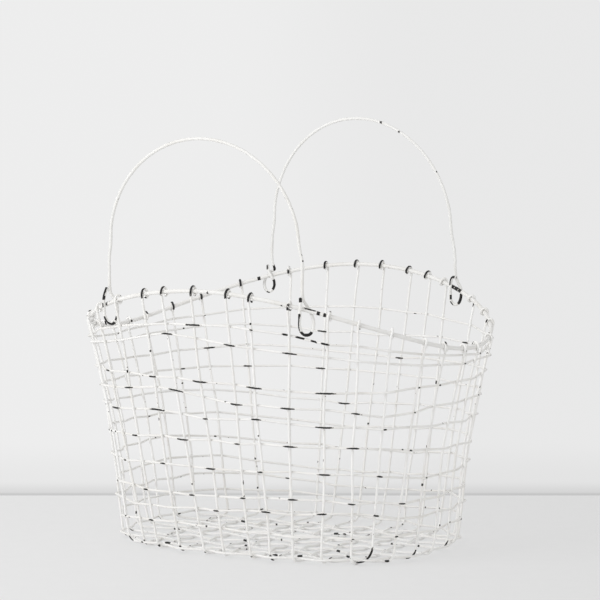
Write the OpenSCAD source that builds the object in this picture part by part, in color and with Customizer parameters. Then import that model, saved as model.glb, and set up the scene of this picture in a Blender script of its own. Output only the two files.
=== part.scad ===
// Hand-woven wire shopping basket with two bail handles.
// Frame: +Z up, X along the oval, Y across it, floor of the basket at z = 0, origin at the middle of the floor.
// Every wire is swept along its own path. Angles run round the oval from +X towards +Y.

/* [Oval] */
// Length of the rim, centre to centre of its wire
rim_length = 398; // [340:1:480]
// Width of the rim, centre to centre of its wire
rim_width = 334; // [280:5:400]
// Squareness of the rim oval, 2 is an ellipse
rim_squareness = 2.2; // [2:0.1:3]
// Length of the floor
floor_length = 330; // [270:5:380]
// Width of the floor
floor_width = 240; // [200:5:300]
// Squareness of the floor oval
floor_squareness = 2.7; // [2:0.1:3.5]
// Height of the rim at the two ends
end_height = 203; // [160:1:260]
// Height of the rim at the middle of the long sides
side_height = 260; // [200:1:330]
// How much higher the far side stands than the near one, halved
rim_tilt = 3; // [0:0.5:8]
// How much higher the left end stands than the right one, halved
rim_pitch = 2.5; // [0:0.5:8]
// How far the walls at the ends are drawn in between rim and floor
end_waist = 6; // [0:0.5:10]
// How far the long walls swell outwards between rim and floor
side_bulge = 2; // [0:0.5:10]
// Length of each leg of the bend between wall and floor
bend_leg = 5.5; // [4:0.5:8]

/* [Wire] */
// Diameter of the rim wire
rim_d = 4; // [3:0.1:6]
// Diameter of the stakes
stake_d = 2.4; // [1.6:0.1:3]
// Diameter of the rings
ring_d = 2.2; // [1.6:0.1:3]
// Diameter of the handle wire
handle_d = 3; // [2.4:0.1:4]
// Clearance between wires that cross
weave_gap = 0.15; // [0.1:0.05:0.4]

/* [Stakes] */
// Where the crosswise stakes meet the near rim, in degrees
cross_rim_near = [-132, -120.5, -109, -102, -92.5, -82, -75.5, -65, -54.5, -46.5]; // [-140:0.5:-42]
// Where they meet the near edge of the floor
cross_floor_near = [-124.5, -118, -108.5, -99, -91.5, -81.5, -74.5, -67, -58, -48.5]; // [-128:0.5:-46]
// Where they meet the far rim
cross_rim_far = [143, 130, 115, 103.5, 93.5, 85, 75.5, 68.5, 62, 48]; // [44:0.5:146]
// Where they meet the far edge of the floor
cross_floor_far = [134, 122.5, 112, 102, 95.5, 85, 75.5, 66.5, 59, 50]; // [48:0.5:136]
// Where the lengthwise stakes meet the left rim
long_rim_left = [-143.5, -152, -160, -168, -177, -186, -195, -206.5]; // [-210:0.5:-142]
// Where they meet the left edge of the floor
long_floor_left = [-135, -148, -160, -170, -180, -190, -202, -212.5]; // [-214:0.5:-134]
// Where they meet the right rim
long_rim_right = [-37, -25.5, -17.5, -7.5, 1.5, 16, 29.5, 38]; // [-40:0.5:40]
// Where they meet the right edge of the floor
long_floor_right = [-41.5, -33, -21.5, -8, 7, 19, 28, 37]; // [-42:0.5:38]

/* [Rings] */
// Height of each wall ring at the ends, as a share of the rim's height, top ring first
ring_share_end = [0.955, 0.925, 0.83, 0.74, 0.64, 0.525, 0.4, 0.29, 0.2, 0.12]; // [0.1:0.005:0.96]
// The same at the middle of the near side
ring_share_near = [0.875, 0.8, 0.66, 0.595, 0.53, 0.445, 0.34, 0.23, 0.17, 0.105]; // [0.08:0.005:0.96]
// The same at the middle of the far side
ring_share_far = [0.83, 0.73, 0.645, 0.57, 0.445, 0.36, 0.275, 0.19, 0.135, 0.08]; // [0.07:0.005:0.96]
// How far a ring wanders up and down
ring_wave = 1.2; // [0:0.1:2]

/* [Handles] */
// Where the two eyes of the near handle sit on the rim, in degrees
near_feet = [-125, -61]; // [-128:0.5:-58]
// Where the two eyes of the far handle sit on the rim
far_feet = [56.5, 120]; // [54:0.5:122]
// Height of the near handle above its eyes
near_height = 156; // [120:1:200]
// Height of the far handle above its eyes
far_height = 169; // [120:1:200]
// How far the near handle leans outwards, in degrees
near_lean = 3; // [-10:0.5:8]
// How far the far handle leans outwards, in degrees
far_lean = -5.5; // [-10:0.5:8]
// Height of the straight legs above the eyes
leg_height = 56; // [40:1:80]
// How far each leg has closed in at the top of its straight part
leg_draw = 3.5; // [0:0.5:6]
// Room between the rim and each side of an eye
eye_side_room = 3.3; // [2.7:0.1:5]
// Room between the rim and the bottom of an eye
eye_drop_room = 13.5; // [11:0.5:18]
// Room between the rim and the neck of an eye
eye_neck_room = 5.5; // [5.5:0.5:8]
// How far the sides of an eye fall short of passing beside the rim, which runs through it at a slant
eye_slant = 0.6; // [0.1:0.1:0.7]
// Height of the wrap of the wire's end round the shank
wrap_rise = 6; // [5:0.5:9]
// Length of the wire's free end above the wrap
tip_length = 7; // [3:0.5:10]

/* [Hidden] */
cross_count = len(cross_rim_near);
long_count = len(long_rim_left);
wall_rings = len(ring_share_end);

rim_sides = 8;
stake_sides = 6;
ring_sides = 5;
handle_sides = 8;
paint = "#f1f0ec";
shaded_paint = "#e4e2dc";

// Radius of the hook round the rim, for a wire that passes it with the weave's clearance
hook_steps = 10;
hook_turn = 330;
hook_radius = (rim_d + stake_d) / 2 + weave_gap;
hook_lead = stake_d + 2 * weave_gap;
// The floor is a plain weave, so its wires run at two levels, and the lower ones rest on their flat undersides
low_level = stake_d / 2 * cos(180 / stake_sides);
high_level = low_level + stake_d + weave_gap;
mid_level = (low_level + high_level) / 2;
// Half length of the level stretch where two wires cross
crossing_half = 2;
// How far a ring's centre stands from a stake's centre where it passes in front or behind
ring_offset = (stake_d + ring_d) / 2 + weave_gap;
// The wall is bent in straight stretches between this many stations, and ends where the bend begins
wall_steps = 4;
bend_wall = bend_leg + mid_level;
// Above 1, it moves the widest part of a wall's swelling upwards
swell_skew = 1.2;
// A ring wanders in two waves, of this many crests each, and each ring starts at other angles
wave_crests = [3, 5];
wave_starts = [47, 111];
second_wave = 0.6;
// Share of a leg's draw that it has closed in by half its height
half_draw = 0.3;

function numbered(name, i) = str(name, i < 10 ? "0" : "", i);
function unit(v) = v / norm(v);
function square_to(v, t) = unit(v - (v * t) * t);
function mix(a, b, share) = a + (b - a) * share;
function plan_cross(a, b) = a.x * b.y - a.y * b.x;

// Ovals, rim and floor edge
function oval(length, width, squareness, angle) =
    let (c = cos(angle), s = sin(angle))
    let (reach = pow(pow(abs(c), squareness) + pow(abs(s), squareness), -1 / squareness))
    [length / 2 * reach * c, width / 2 * reach * s];
function rim_height(angle) =
    mix(end_height, side_height, pow(sin(angle), 2)) + rim_tilt * sin(angle) - rim_pitch * cos(angle);
function rim_point(angle) =
    let (p = oval(rim_length, rim_width, rim_squareness, angle))
    [p.x, p.y, rim_height(angle)];
function floor_point(angle) =
    let (p = oval(floor_length, floor_width, floor_squareness, angle))
    [p.x, p.y, mid_level];
function rim_tangent(angle) = unit(rim_point(angle + 0.5) - rim_point(angle - 0.5));
function outward(tangent) = unit([tangent.y, -tangent.x, 0]);

// A stake's end is [angle on the rim, angle on the floor's edge]
function hook_point(angle, turn, along, radius) =
    let (t = rim_tangent(angle), o = outward(t), up = cross(o, t))
    rim_point(angle) + radius * (cos(turn) * o + sin(turn) * up) + along * t;
function hook_path(angle) =
    let (radius = hook_radius / cos(hook_turn / hook_steps / 2))
    [for (i = [hook_steps:-1:0])
        hook_point(angle, i * hook_turn / hook_steps, hook_lead * (i / hook_steps - 0.5), radius)];
function wall_point(end, share) =
    let (top = hook_point(end[0], 0, -hook_lead / 2, hook_radius))
    let (swell = mix(-end_waist, side_bulge, pow(sin(end[0]), 2)))
    mix(floor_point(end[1]), top, share)
        + swell * sin(180 * pow(share, swell_skew)) * outward(rim_tangent(end[0]));
function bend_share(end) = bend_wall / rim_height(end[0]);
function bend_point(end, inward, share) =
    let (corner = floor_point(end[1]), a = wall_point(end, bend_share(end)), c = corner + bend_leg * inward)
    mix(mix(a, corner, share), mix(corner, c, share), share);
function bend_path(end, inward) = [for (k = [0:3]) bend_point(end, inward, k / 3)];
function end_path(end, inward) = concat(
    hook_path(end[0]),
    [for (k = [wall_steps - 1:-1:1]) wall_point(end, k / wall_steps)],
    bend_path(end, inward)
);
function reversed(path) = [for (i = [len(path) - 1:-1:0]) path[i]];

// Ends of the two kinds of stake
function cross_end(i, far) =
    far ? [cross_rim_far[i], cross_floor_far[i]] : [cross_rim_near[i], cross_floor_near[i]];
function long_end(i, right) =
    right ? [long_rim_right[i], long_floor_right[i]] : [long_rim_left[i], long_floor_left[i]];

// Floor weave: the level stretches of one wire where it crosses the wires of the other kind
function crossing(a, b, c, d) = mix(a, b, plan_cross(c - a, d - c) / plan_cross(b - a, d - c));
function level_stretch(p, along, level) =
    [for (side = [-1, 1]) [p.x, p.y, level] + side * crossing_half * along];
function stake_path(first, last, others, high_first) =
    let (a = floor_point(first[1]), b = floor_point(last[1]), along = unit(b - a))
    concat(
        end_path(first, along),
        [for (k = [0:len(others) - 1])
            each level_stretch(
                crossing(a, b, floor_point(others[k][0][1]), floor_point(others[k][1][1])),
                along,
                (k % 2 == 0) == high_first ? high_level : low_level
            )],
        reversed(end_path(last, -along))
    );
function cross_path(i) = stake_path(
    cross_end(i, false),
    cross_end(i, true),
    [for (k = [0:long_count - 1]) [long_end(k, false), long_end(k, true)]],
    i % 2 == 0
);
function long_path(i) = stake_path(
    long_end(i, false),
    long_end(i, true),
    [for (k = [0:cross_count - 1]) [cross_end(k, false), cross_end(k, true)]],
    i % 2 == 1
);

// All stake ends in order round the basket, from the left end by the near side
ends = concat(
    [for (i = [long_count - 1:-1:0]) long_end(i, false)],
    [for (i = [0:cross_count - 1]) cross_end(i, false)],
    [for (i = [0:long_count - 1]) long_end(i, true)],
    [for (i = [cross_count - 1:-1:0]) cross_end(i, true)]
);
end_count = len(ends);

// Rings pass outside one stake and inside the next, and neighbouring rings do the opposite
function ring_share(ring, angle) =
    let (side = sin(angle) < 0 ? ring_share_near[ring] : ring_share_far[ring])
    let (waves = [for (k = [0, 1]) sin(wave_crests[k] * angle + wave_starts[k] * ring)])
    mix(ring_share_end[ring], side, pow(sin(angle), 2))
        + ring_wave / end_height * (waves[0] + second_wave * waves[1]);
function ring_mid(ring, end) =
    let (share = ring_share(ring, end[0]), step = floor(share * wall_steps))
    let (low = step == 0 ? bend_share(end) : step / wall_steps, high = (step + 1) / wall_steps)
    mix(wall_point(end, low), wall_point(end, high), (share - low) / (high - low));
function ring_side(ring, k) = (ring + k) % 2 == 0 ? 1 : -1;
function laid_ring(mids, normals, ring, offset) =
    [for (k = [0:end_count - 1])
        let (before = mids[(k + end_count - 1) % end_count], after = mids[(k + 1) % end_count])
        let (along = unit(after - before))
        for (side = [-1, 1])
            mids[k] + offset * ring_side(ring, k) * normals[k] + side * crossing_half * along];
function wall_ring_path(ring) = laid_ring(
    [for (end = ends) ring_mid(ring, end)],
    [for (end = ends) outward(rim_tangent(end[0]))],
    ring,
    ring_offset
);
function bottom_ring_path() = laid_ring(
    [for (end = ends) bend_point(end, -outward(rim_tangent(end[0])), 0.5)],
    [for (end = ends) unit(outward(rim_tangent(end[0])) - [0, 0, 1])],
    wall_rings,
    ring_offset + weave_gap
);
function rim_path() =
    [for (k = [0:end_count - 1])
        let (here = ends[k][0], next = ends[(k + 1) % end_count][0])
        let (gap = (next - here + 720) % 360)
        for (share = [0, 0.5]) rim_point(here + gap * share)];

// An eye's half width, and its reach below and above the rim's centre, to the middle of its wire
beside_rim = (rim_d + handle_d) / 2;
eye_half = beside_rim + eye_side_room;
eye_drop = beside_rim + eye_drop_room;
eye_neck = beside_rim + eye_neck_room;
eye_twist = beside_rim - eye_slant;

// Handle, in its own plane: x along the line of its eyes, y towards the inside of the basket, z up.
// tail is the side, -1 or 1, on which the wire's end comes up, and front the side of the rim it comes up on.
wrap_radius = handle_d + 2 * weave_gap;
// Widest reach of the drop-shaped curve sin(t) * sin(t / 2)
drop_reach = 0.77;
function eye_loop(t, tail, front) =
    let (wind = t > 180 ? pow(t / 180 - 1, 2) : 0)
    [
        -tail * eye_half / drop_reach * sin(t) * sin(t / 2),
        front * (wrap_radius * wind - eye_twist * sin(t)),
        mix(-eye_drop, eye_neck, (1 + cos(t)) / 2)
    ];
function eye_wrap(t, tail, front) =
    let (share = t / 270)
    [
        -tail * wrap_radius * sin(t),
        front * wrap_radius * cos(t),
        eye_neck + wrap_rise * (1 - pow(1 - share, 2))
    ];
function eye_path(tail, front) = concat(
    [[tail * (wrap_radius + tip_length / 4), 0, eye_neck + wrap_rise + tip_length]],
    [for (t = [270:-30:0]) eye_wrap(t, tail, front)],
    [for (t = [340:-20:0]) eye_loop(t, tail, front)]
);
function arch_path(half, height) =
    let (top_half = half - leg_draw)
    concat(
        [[-half + leg_draw * half_draw, 0, leg_height / 2]],
        [for (t = [180:-12:0]) [top_half * cos(t), 0, leg_height + (height - leg_height) * sin(t)]],
        [[half - leg_draw * half_draw, 0, leg_height / 2]]
    );
function handle_path(half, height, tail) = concat(
    [for (p = eye_path(tail, tail)) p - [half, 0, 0]],
    arch_path(half, height),
    [for (p = reversed(eye_path(tail, -tail))) p + [half, 0, 0]]
);
function placed_handle(feet, height, lean, tail) =
    let (a = rim_point(feet[0]), b = rim_point(feet[1]))
    let (along = unit(b - a), level = square_to([0, 0, 1], along), inward = cross(level, along))
    let (up = cos(lean) * level - sin(lean) * inward, in = cos(lean) * inward + sin(lean) * level)
    [for (p = handle_path(norm(b - a) / 2, height, tail)) (a + b) / 2 + p.x * along + p.y * in + p.z * up];

// Sweep of a round wire along a path.
// Short stretches count most in a section's direction, so that the level stretches stay level.
function pull(v) = v / pow(norm(v), 3);
function tangents(path, closed) =
    let (last = len(path) - 1)
    [for (i = [0:last])
        let (back = i > 0 ? path[i] - path[i - 1] : closed ? path[0] - path[last] : path[1] - path[0])
        let (ahead = i < last ? path[i + 1] - path[i] : closed ? path[0] - path[last] : back)
        unit(pull(back) + pull(ahead))];
function carried(directions, start) =
    let (last = len(directions) - 1)
    [for (i = 0, n = square_to(start, directions[0]); i <= last;
        n = square_to(n, directions[min(i + 1, last)]), i = i + 1) n];
function wire_points(path, directions, normals, d, sides) =
    [for (i = [0:len(path) - 1])
        let (across = cross(directions[i], normals[i]))
        for (k = [0:sides - 1])
            path[i] + d / 2 * (cos(360 * k / sides) * normals[i] + sin(360 * k / sides) * across)];
function skin(from, to, sides) =
    [for (k = [0:sides - 1])
        let (next = (k + 1) % sides)
        each [[from + k, to + k, to + next], [from + k, to + next, from + next]]];
function start_cap(sides) = [for (k = [1:sides - 2]) [0, k, k + 1]];
function end_cap(base, sides) = [for (k = [1:sides - 2]) [base, base + k + 1, base + k]];

module closed_wire(path, d, sides) {
    directions = tangents(path, true);
    normals = [for (t = directions) outward(t)];
    count = len(path);
    polyhedron(
        points = wire_points(path, directions, normals, d, sides),
        faces = [for (i = [0:count - 1]) each skin(i * sides, (i + 1) % count * sides, sides)]
    );
}
module open_wire(path, directions, normals, d, sides) {
    last = len(path) - 1;
    polyhedron(
        points = wire_points(path, directions, normals, d, sides),
        faces = concat(
            [for (i = [0:last - 1]) each skin(i * sides, (i + 1) * sides, sides)],
            start_cap(sides),
            end_cap(last * sides, sides)
        )
    );
}
module stake(path, side) {
    directions = tangents(path, false);
    color(paint) open_wire(path, directions, [for (t = directions) square_to(side, t)], stake_d, stake_sides);
}

module rim_hoop() {
    color(paint) closed_wire(rim_path(), rim_d, rim_sides);
}
module cross_stake(i) {
    stake(cross_path(i), [1, 0, 0]);
}
module long_stake(i) {
    stake(long_path(i), [0, 1, 0]);
}
module ring(i) {
    color(shaded_paint) closed_wire(i < wall_rings ? wall_ring_path(i) : bottom_ring_path(), ring_d, ring_sides);
}
module handle(feet, height, lean, tail) {
    path = placed_handle(feet, height, lean, tail);
    directions = tangents(path, false);
    color(paint) open_wire(path, directions, carried(directions, [1, 0, 0]), handle_d, handle_sides);
}

rim_hoop();
for (i = [1:cross_count]) cross_stake(i - 1);
for (i = [1:long_count]) long_stake(i - 1);
for (i = [1:wall_rings + 1]) ring(i - 1);
handle(near_feet, near_height, near_lean, -1);  // near_handle
handle(far_feet, far_height, far_lean, 1);  // far_handle
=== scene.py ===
"""Looks of a hand-woven wire shopping basket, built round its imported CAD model."""

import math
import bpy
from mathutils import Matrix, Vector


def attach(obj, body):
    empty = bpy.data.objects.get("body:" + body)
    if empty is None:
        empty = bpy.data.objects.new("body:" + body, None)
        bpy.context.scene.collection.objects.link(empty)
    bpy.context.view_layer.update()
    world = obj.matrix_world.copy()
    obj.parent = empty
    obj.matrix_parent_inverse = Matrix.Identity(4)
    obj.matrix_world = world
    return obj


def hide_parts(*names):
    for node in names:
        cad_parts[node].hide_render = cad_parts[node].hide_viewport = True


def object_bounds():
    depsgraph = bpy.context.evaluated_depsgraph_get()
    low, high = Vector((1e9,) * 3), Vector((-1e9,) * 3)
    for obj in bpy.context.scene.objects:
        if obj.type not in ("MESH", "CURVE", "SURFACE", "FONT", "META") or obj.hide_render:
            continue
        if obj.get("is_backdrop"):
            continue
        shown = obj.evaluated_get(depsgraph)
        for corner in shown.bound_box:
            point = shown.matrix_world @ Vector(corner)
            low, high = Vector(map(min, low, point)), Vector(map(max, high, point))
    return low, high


bl_info = {
    "name": "Woven Wire Basket",
    "version": (1, 0, 0),
    "blender": (4, 5, 0),
    "location": "View3D > Sidebar > Basket",
    "description": "Builds a hand-woven wire shopping basket in worn white paint",
    "category": "Object",
}

import bpy
import numpy as np
from bpy.props import FloatProperty, FloatVectorProperty, IntProperty, PointerProperty
from mathutils import Vector

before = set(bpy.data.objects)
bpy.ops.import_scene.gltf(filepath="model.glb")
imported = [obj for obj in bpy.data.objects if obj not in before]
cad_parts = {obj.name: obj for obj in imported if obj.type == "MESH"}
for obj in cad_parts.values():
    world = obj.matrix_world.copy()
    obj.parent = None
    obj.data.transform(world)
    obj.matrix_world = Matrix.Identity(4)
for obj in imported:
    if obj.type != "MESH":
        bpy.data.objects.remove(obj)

UP = np.array([0.0, 0.0, 1.0])

# ---------------------------------------------------------------------------
# Weave plan: where every stake and ring lies round the oval.
# Angles are in degrees and run from the right-hand end towards the far side. Each end of a stake has
# the angle where it hooks round the rim, then the angle where it bends into the floor.
# ---------------------------------------------------------------------------

CROSS_NEAR = (
    (-132, -124.5), (-120.5, -118), (-109, -108.5), (-102, -99), (-92.5, -91.5),
    (-82, -81.5), (-75.5, -74.5), (-65, -67), (-54.5, -58), (-46.5, -48.5),
)
CROSS_FAR = (
    (143, 134), (130, 122.5), (115, 112), (103.5, 102), (93.5, 95.5),
    (85, 85), (75.5, 75.5), (68.5, 66.5), (62, 59), (48, 50),
)
LONG_LEFT = (
    (-143.5, -135), (-152, -148), (-160, -160), (-168, -170),
    (-177, -180), (-186, -190), (-195, -202), (-206.5, -212.5),
)
LONG_RIGHT = (
    (-37, -41.5), (-25.5, -33), (-17.5, -21.5), (-7.5, -8),
    (1.5, 7), (16, 19), (29.5, 28), (38, 37),
)
# Height of each wall ring as a share of the rim's height: at the ends, at the
# middle of the near side and at the middle of the far side, top ring first.
RING_SHARES = (
    (0.955, 0.875, 0.83), (0.925, 0.8, 0.73), (0.83, 0.66, 0.645), (0.74, 0.595, 0.57),
    (0.64, 0.53, 0.445), (0.525, 0.445, 0.36), (0.4, 0.34, 0.275), (0.29, 0.23, 0.19),
    (0.2, 0.17, 0.135), (0.12, 0.105, 0.08),
)
WALL_RINGS = len(RING_SHARES)
FAR_FIRST = len(LONG_LEFT) + len(CROSS_NEAR) + len(LONG_RIGHT)  # the first far end, going round
BOTTOM_RING_LIFT = 0.0024  # how far the bottom ring runs above the floor's wires
BOTTOM_RING_ROOM = 0.0002  # its extra room beside a bend
# Where a ring was pushed up or down by hand: angle, reach in degrees, share of the rim's height. The top
# ring is 0.
RING_NUDGES = {
    0: ((-14, 20, 0.022), (-57, 8, -0.015)),
    1: ((-103, 14, 0.036),),
    2: ((-44, 16, -0.022), (4, 14, 0.014)),
    3: ((-105, 14, 0.031), (-38, 16, -0.048)),
    4: ((-109, 10, 0.020), (-76, 8, 0.010), (-46, 16, -0.014)),
    8: ((-46, 16, 0.036), (-76, 8, 0.012)),
}
# How bare each hook is rubbed, outside the rim and inside it, in the order of the stakes above
HOOK_WEAR = {
    "near": (
        (0.3, 0.1), (0.45, 0.1), (1, 0.1), (1, 0.1), (1, 0.1),
        (1, 0.1), (1, 0.1), (0.65, 0.1), (0, 0.1), (0, 0.1),
    ),
    "far": (
        (0, 0.95), (0, 0.95), (0.1, 0.6), (0.2, 1), (0.2, 1),
        (0.2, 1), (0.2, 1), (0.2, 1), (0.1, 0.2), (0, 0),
    ),
    "left": (
        (0.4, 0.1), (0.25, 0.2), (0.5, 0), (0.3, 0.1),
        (0.3, 0.2), (0.4, 0.2), (0.2, 0.4), (0.2, 0.6),
    ),
    "right": (
        (0, 0), (0, 0), (0.3, 0.2), (0.2, 0.1),
        (0.1, 0.2), (0.2, 0.1), (0, 0.1), (0, 0),
    ),
}
# The same for the outside of each bend between wall and floor
BEND_WEAR = {
    "near": (0.6, 0.15, 0.9, 0, 0, 0.1, 0.9, 0, 0, 0),
    "far": (0.3, 0.6, 0.3, 0.3, 0.6, 0.2, 0.3, 0.6, 0.3, 0.3),
    "left": (0.5, 0.3, 0.6, 0.3, 0.5, 0.3, 0.6, 0.3),
    "right": (2.8, 0, 1.7, 0, 1.5, 0.5, 0.7, 0.4),
}
# How far each wall ring is rubbed bare where it bulges over a near stake, in shares of CROWN_REACH. Rows run
# from the top ring down, and from the left on past the near side's right end, one place for two stakes.
CROWN_REACH = 0.0072
CROWN_WEAR = (
    (0, 0.25, 1.25, 0.25, 0, 0, 0),
    (0, 1, 1, 1.25, 0, 0, 0.25),
    (0.75, 0.75, 1.25, 1.25, 1.5, 0, 0.25),
    (1, 1.5, 1, 1, 0.75, 0.25, 0),
    (1.5, 1.5, 0.5, 0.75, 1.25, 0.25, 0),
    (0.75, 1.25, 0.5, 1, 1, 0.25, 0),
    (0.5, 0.5, 1, 0.5, 1, 0.5, 0.25),
    (0.5, 0.5, 0.5, 0.75, 0.5, 0.5, 0),
    (0, 0, 0.5, 0.75, 0.75, 0.5, 0),
    (0.5, 0.25, 0.25, 0, 0.25, 0.25, 0),
)
# Bare dashes on the top ring under the near handle's right eye: share of the way from the eighth near
# stake to the ninth, and half length
TOP_RING_DASHES = ((-0.1, 0.0035), (0.3, 0.0052), (0.62, 0.0030), (0.93, 0.0048))
# Right-hand ends of lengthwise stakes that were bent more loosely: the stake, counted from 0, and the
# length of the bend's legs
LOOSE_BENDS = {0: 0.0165, 2: 0.0115, 4: 0.0105}
BEND_LEG = 0.0055  # the shortest legs of every other bend between wall and floor
BEND_LEG_SPREAD = 0.0035  # how much longer they may be

FLOOR_BOW = 0.0022  # how far a floor wire may bow to one side
FLOOR_SNAKE = 0.0014  # how far it may sway to both sides
FLOOR_CREST = 0.0018  # half of how long a floor wire runs level over a crossing
RING_CREST = 0.0019  # the same for a ring past a stake
RING_SWAY = 0.0012  # how far a ring wanders up and down
WALL_SHARES = np.linspace(0.9, 0.1, 9)  # heights of the points that shape a stake's wall

# First seeds of the random draws. An end seed names a stake's end: its side, then the stake from 0.
END_SEEDS = {"near": 100, "left": 200, "right": 300, "far": 400}
HOOK_SEEDS = 1000
WALL_SEEDS = 2000
BEND_SEEDS = 3000
FLOOR_SEEDS = {"cross": 4000, "long": 4040}
WEAR_SEEDS = {"cross_stake": 5000, "long_stake": 5050, "ring": 6000, "rim": 7000}
PAINT_SEEDS = {"cross_stake": 100, "long_stake": 312, "ring": 200, "rim": 1, "handle": 300}


# ---------------------------------------------------------------------------
# Sizes and colours a user may change
# ---------------------------------------------------------------------------

def length_property(name, description, default):
    return FloatProperty(name=name, description=description, default=default, unit="LENGTH", precision=5)


def angle_property(name, description, default):
    return FloatProperty(name=name, description=description, default=default, unit="ROTATION")


def colour_property(name, description, default):
    return FloatVectorProperty(name=name, description=description, default=default, subtype="COLOR", size=3)


class BasketSizes(bpy.types.PropertyGroup):
    """Shape of the basket's body."""

    rim_length: length_property("Rim length", "Length of the rim, centre to centre of its wire", 0.398)
    rim_width: length_property("Rim width", "Width of the rim, centre to centre of its wire", 0.334)
    rim_squareness: FloatProperty(name="Rim squareness", description="2 is an ellipse", default=2.2)
    floor_length: length_property("Floor length", "Length of the floor", 0.330)
    floor_width: length_property("Floor width", "Width of the floor", 0.240)
    floor_squareness: FloatProperty(name="Floor squareness", description="2 is an ellipse", default=2.7)
    end_height: length_property("End height", "Height of the rim at the two ends", 0.203)
    side_height: length_property("Side height", "Height of the rim at the middle of the long sides", 0.260)
    rim_tilt: length_property("Rim tilt", "Half of how much higher the far side stands", 0.003)
    rim_pitch: length_property("Rim pitch", "Half of how much higher the left end stands", 0.0025)
    end_waist: length_property("End waist", "How far the end walls are drawn in", 0.006)
    side_bulge: length_property("Side bulge", "How far the long walls swell out", 0.002)
    hand_wobble: length_property("Hand wobble", "How far a stake strays from its line", 0.0012)


class WireSizes(bpy.types.PropertyGroup):
    """Wire gauges and how finely they are drawn."""

    rim_d: length_property("Rim wire", "Diameter of the rim wire", 0.0040)
    stake_d: length_property("Stake wire", "Diameter of the stakes", 0.0024)
    ring_d: length_property("Ring wire", "Diameter of the rings", 0.0022)
    handle_d: length_property("Handle wire", "Diameter of the handle wire", 0.0030)
    weave_gap: length_property("Weave gap", "Clearance between crossing wires", 0.00012)
    step: length_property("Step", "Distance between cross sections along a wire", 0.0016)
    sides: IntProperty(name="Sides", description="Corners of a wire's cross section", default=10, min=6)


class HandleSizes(bpy.types.PropertyGroup):
    """Shape of the two handles and of their eyes."""

    near_height: length_property("Near height", "Height of the near handle above its eyes", 0.156)
    far_height: length_property("Far height", "Height of the far handle above its eyes", 0.169)
    near_lean: angle_property("Near lean", "How far the near handle leans outwards", math.radians(3))
    far_lean: angle_property("Far lean", "How far the far handle leans outwards", math.radians(-5.5))
    leg_height: length_property("Leg height", "Height of the straight legs", 0.056)
    leg_draw: length_property("Leg draw", "How far a leg has closed in at its top", 0.0035)


class PaintFinish(bpy.types.PropertyGroup):
    """Colours of the paint and of the steel that shows through it."""

    paint: colour_property("Paint", "Clean paint", (0.855, 0.851, 0.840))
    old_paint: colour_property("Old paint", "Yellowed paint", (0.770, 0.751, 0.714))
    primer: colour_property("Chip edge", "Stained edge of a chip", (0.33, 0.29, 0.25))
    steel: colour_property("Steel", "Dark bare wire", (0.011, 0.012, 0.013))
    rust: colour_property("Rust", "Slight rust on the bare wire", (0.035, 0.024, 0.017))
    paint_lumps: length_property("Paint lumps", "Unevenness of the paint's thickness", 0.00010)


class StageSettings(bpy.types.PropertyGroup):
    """Floor, backdrop, light and camera."""

    floor_color: colour_property("Floor", "Colour of the floor", (0.90, 0.90, 0.90))
    floor_glow: colour_property("Floor seen", "Mixed in where the floor is looked at", (0.72, 0.72, 0.72))
    wall_color: colour_property("Backdrop", "Colour behind the floor's edge", (0.85, 0.85, 0.85))
    edge_distance: length_property("Floor edge", "From the basket's middle to the floor's far edge", 0.2675)
    camera_distance: length_property("Camera distance", "From the camera to the point it looks at", 2.3626)
    camera_azimuth: angle_property("Camera azimuth", "Turn of the camera round the basket", 0.5)
    camera_elevation: angle_property("Camera elevation", "Angle of the camera above the level", 0.08)
    camera_lens: FloatProperty(name="Lens", description="Focal length in millimetres", default=143.86)


# ---------------------------------------------------------------------------
# Curves
# ---------------------------------------------------------------------------

def unit(v):
    """The vector's direction, 1 long."""
    v = np.asarray(v, float)
    return v / np.linalg.norm(v)


def mix(a, b, share):
    """From a, for a share of 0, to b, for a share of 1."""
    return a + (b - a) * share


def squared_to(v, t):
    """The direction nearest to v that is square to t."""
    return unit(v - np.dot(v, t) * t)


def oval(length, width, squareness, degrees):
    """A point of an oval that is an ellipse for a squareness of 2 and boxier above it."""
    c, s = math.cos(math.radians(degrees)), math.sin(math.radians(degrees))
    reach = (abs(c) ** squareness + abs(s) ** squareness) ** (-1 / squareness)
    return np.array([length / 2 * reach * c, width / 2 * reach * s, 0.0])


def smooth_path(points, step, closed=False):
    """A rounded curve through the points, sampled at even steps."""
    points = np.asarray(points, float)
    if closed:
        around = np.vstack([points[-1:], points, points[:2]])
    else:
        around = np.vstack([2 * points[0] - points[1], points, 2 * points[-1] - points[-2]])
    out = []
    for i in range(1, len(around) - 2):
        p0, p1, p2, p3 = around[i - 1 : i + 3]
        k0, k1, k2 = (max(np.linalg.norm(b - a), 1e-7) ** 0.5 for a, b in ((p0, p1), (p1, p2), (p2, p3)))
        m1 = (p2 - p1) - k1 * ((p2 - p0) / (k0 + k1) - (p1 - p0) / k0)
        m2 = (p2 - p1) + k1 * ((p3 - p2) / k2 - (p3 - p1) / (k1 + k2))
        count = max(2, int(math.ceil(np.linalg.norm(p2 - p1) / (step / 3))))
        for t in np.arange(count) / count:
            h = (2 * t**3 - 3 * t**2 + 1, t**3 - 2 * t**2 + t, -2 * t**3 + 3 * t**2, t**3 - t**2)
            out.append(h[0] * p1 + h[1] * m1 + h[2] * p2 + h[3] * m2)
    out.append(points[0] if closed else points[-1])
    return even_path(np.array(out), step, closed)


def arc_lengths(path):
    """How far along a path each of its points lies."""
    return np.concatenate([[0], np.cumsum(np.linalg.norm(np.diff(path, axis=0), axis=1))])


def even_path(path, step, closed):
    """The same path with points at even steps. A closed one leaves out its last, which is its first."""
    s = arc_lengths(path)
    count = max(4, int(round(s[-1] / step)))
    at = np.linspace(0, s[-1], count + 1)
    even = np.stack([np.interp(at, s, path[:, i]) for i in range(3)], 1)
    return even[:-1] if closed else even


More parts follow.
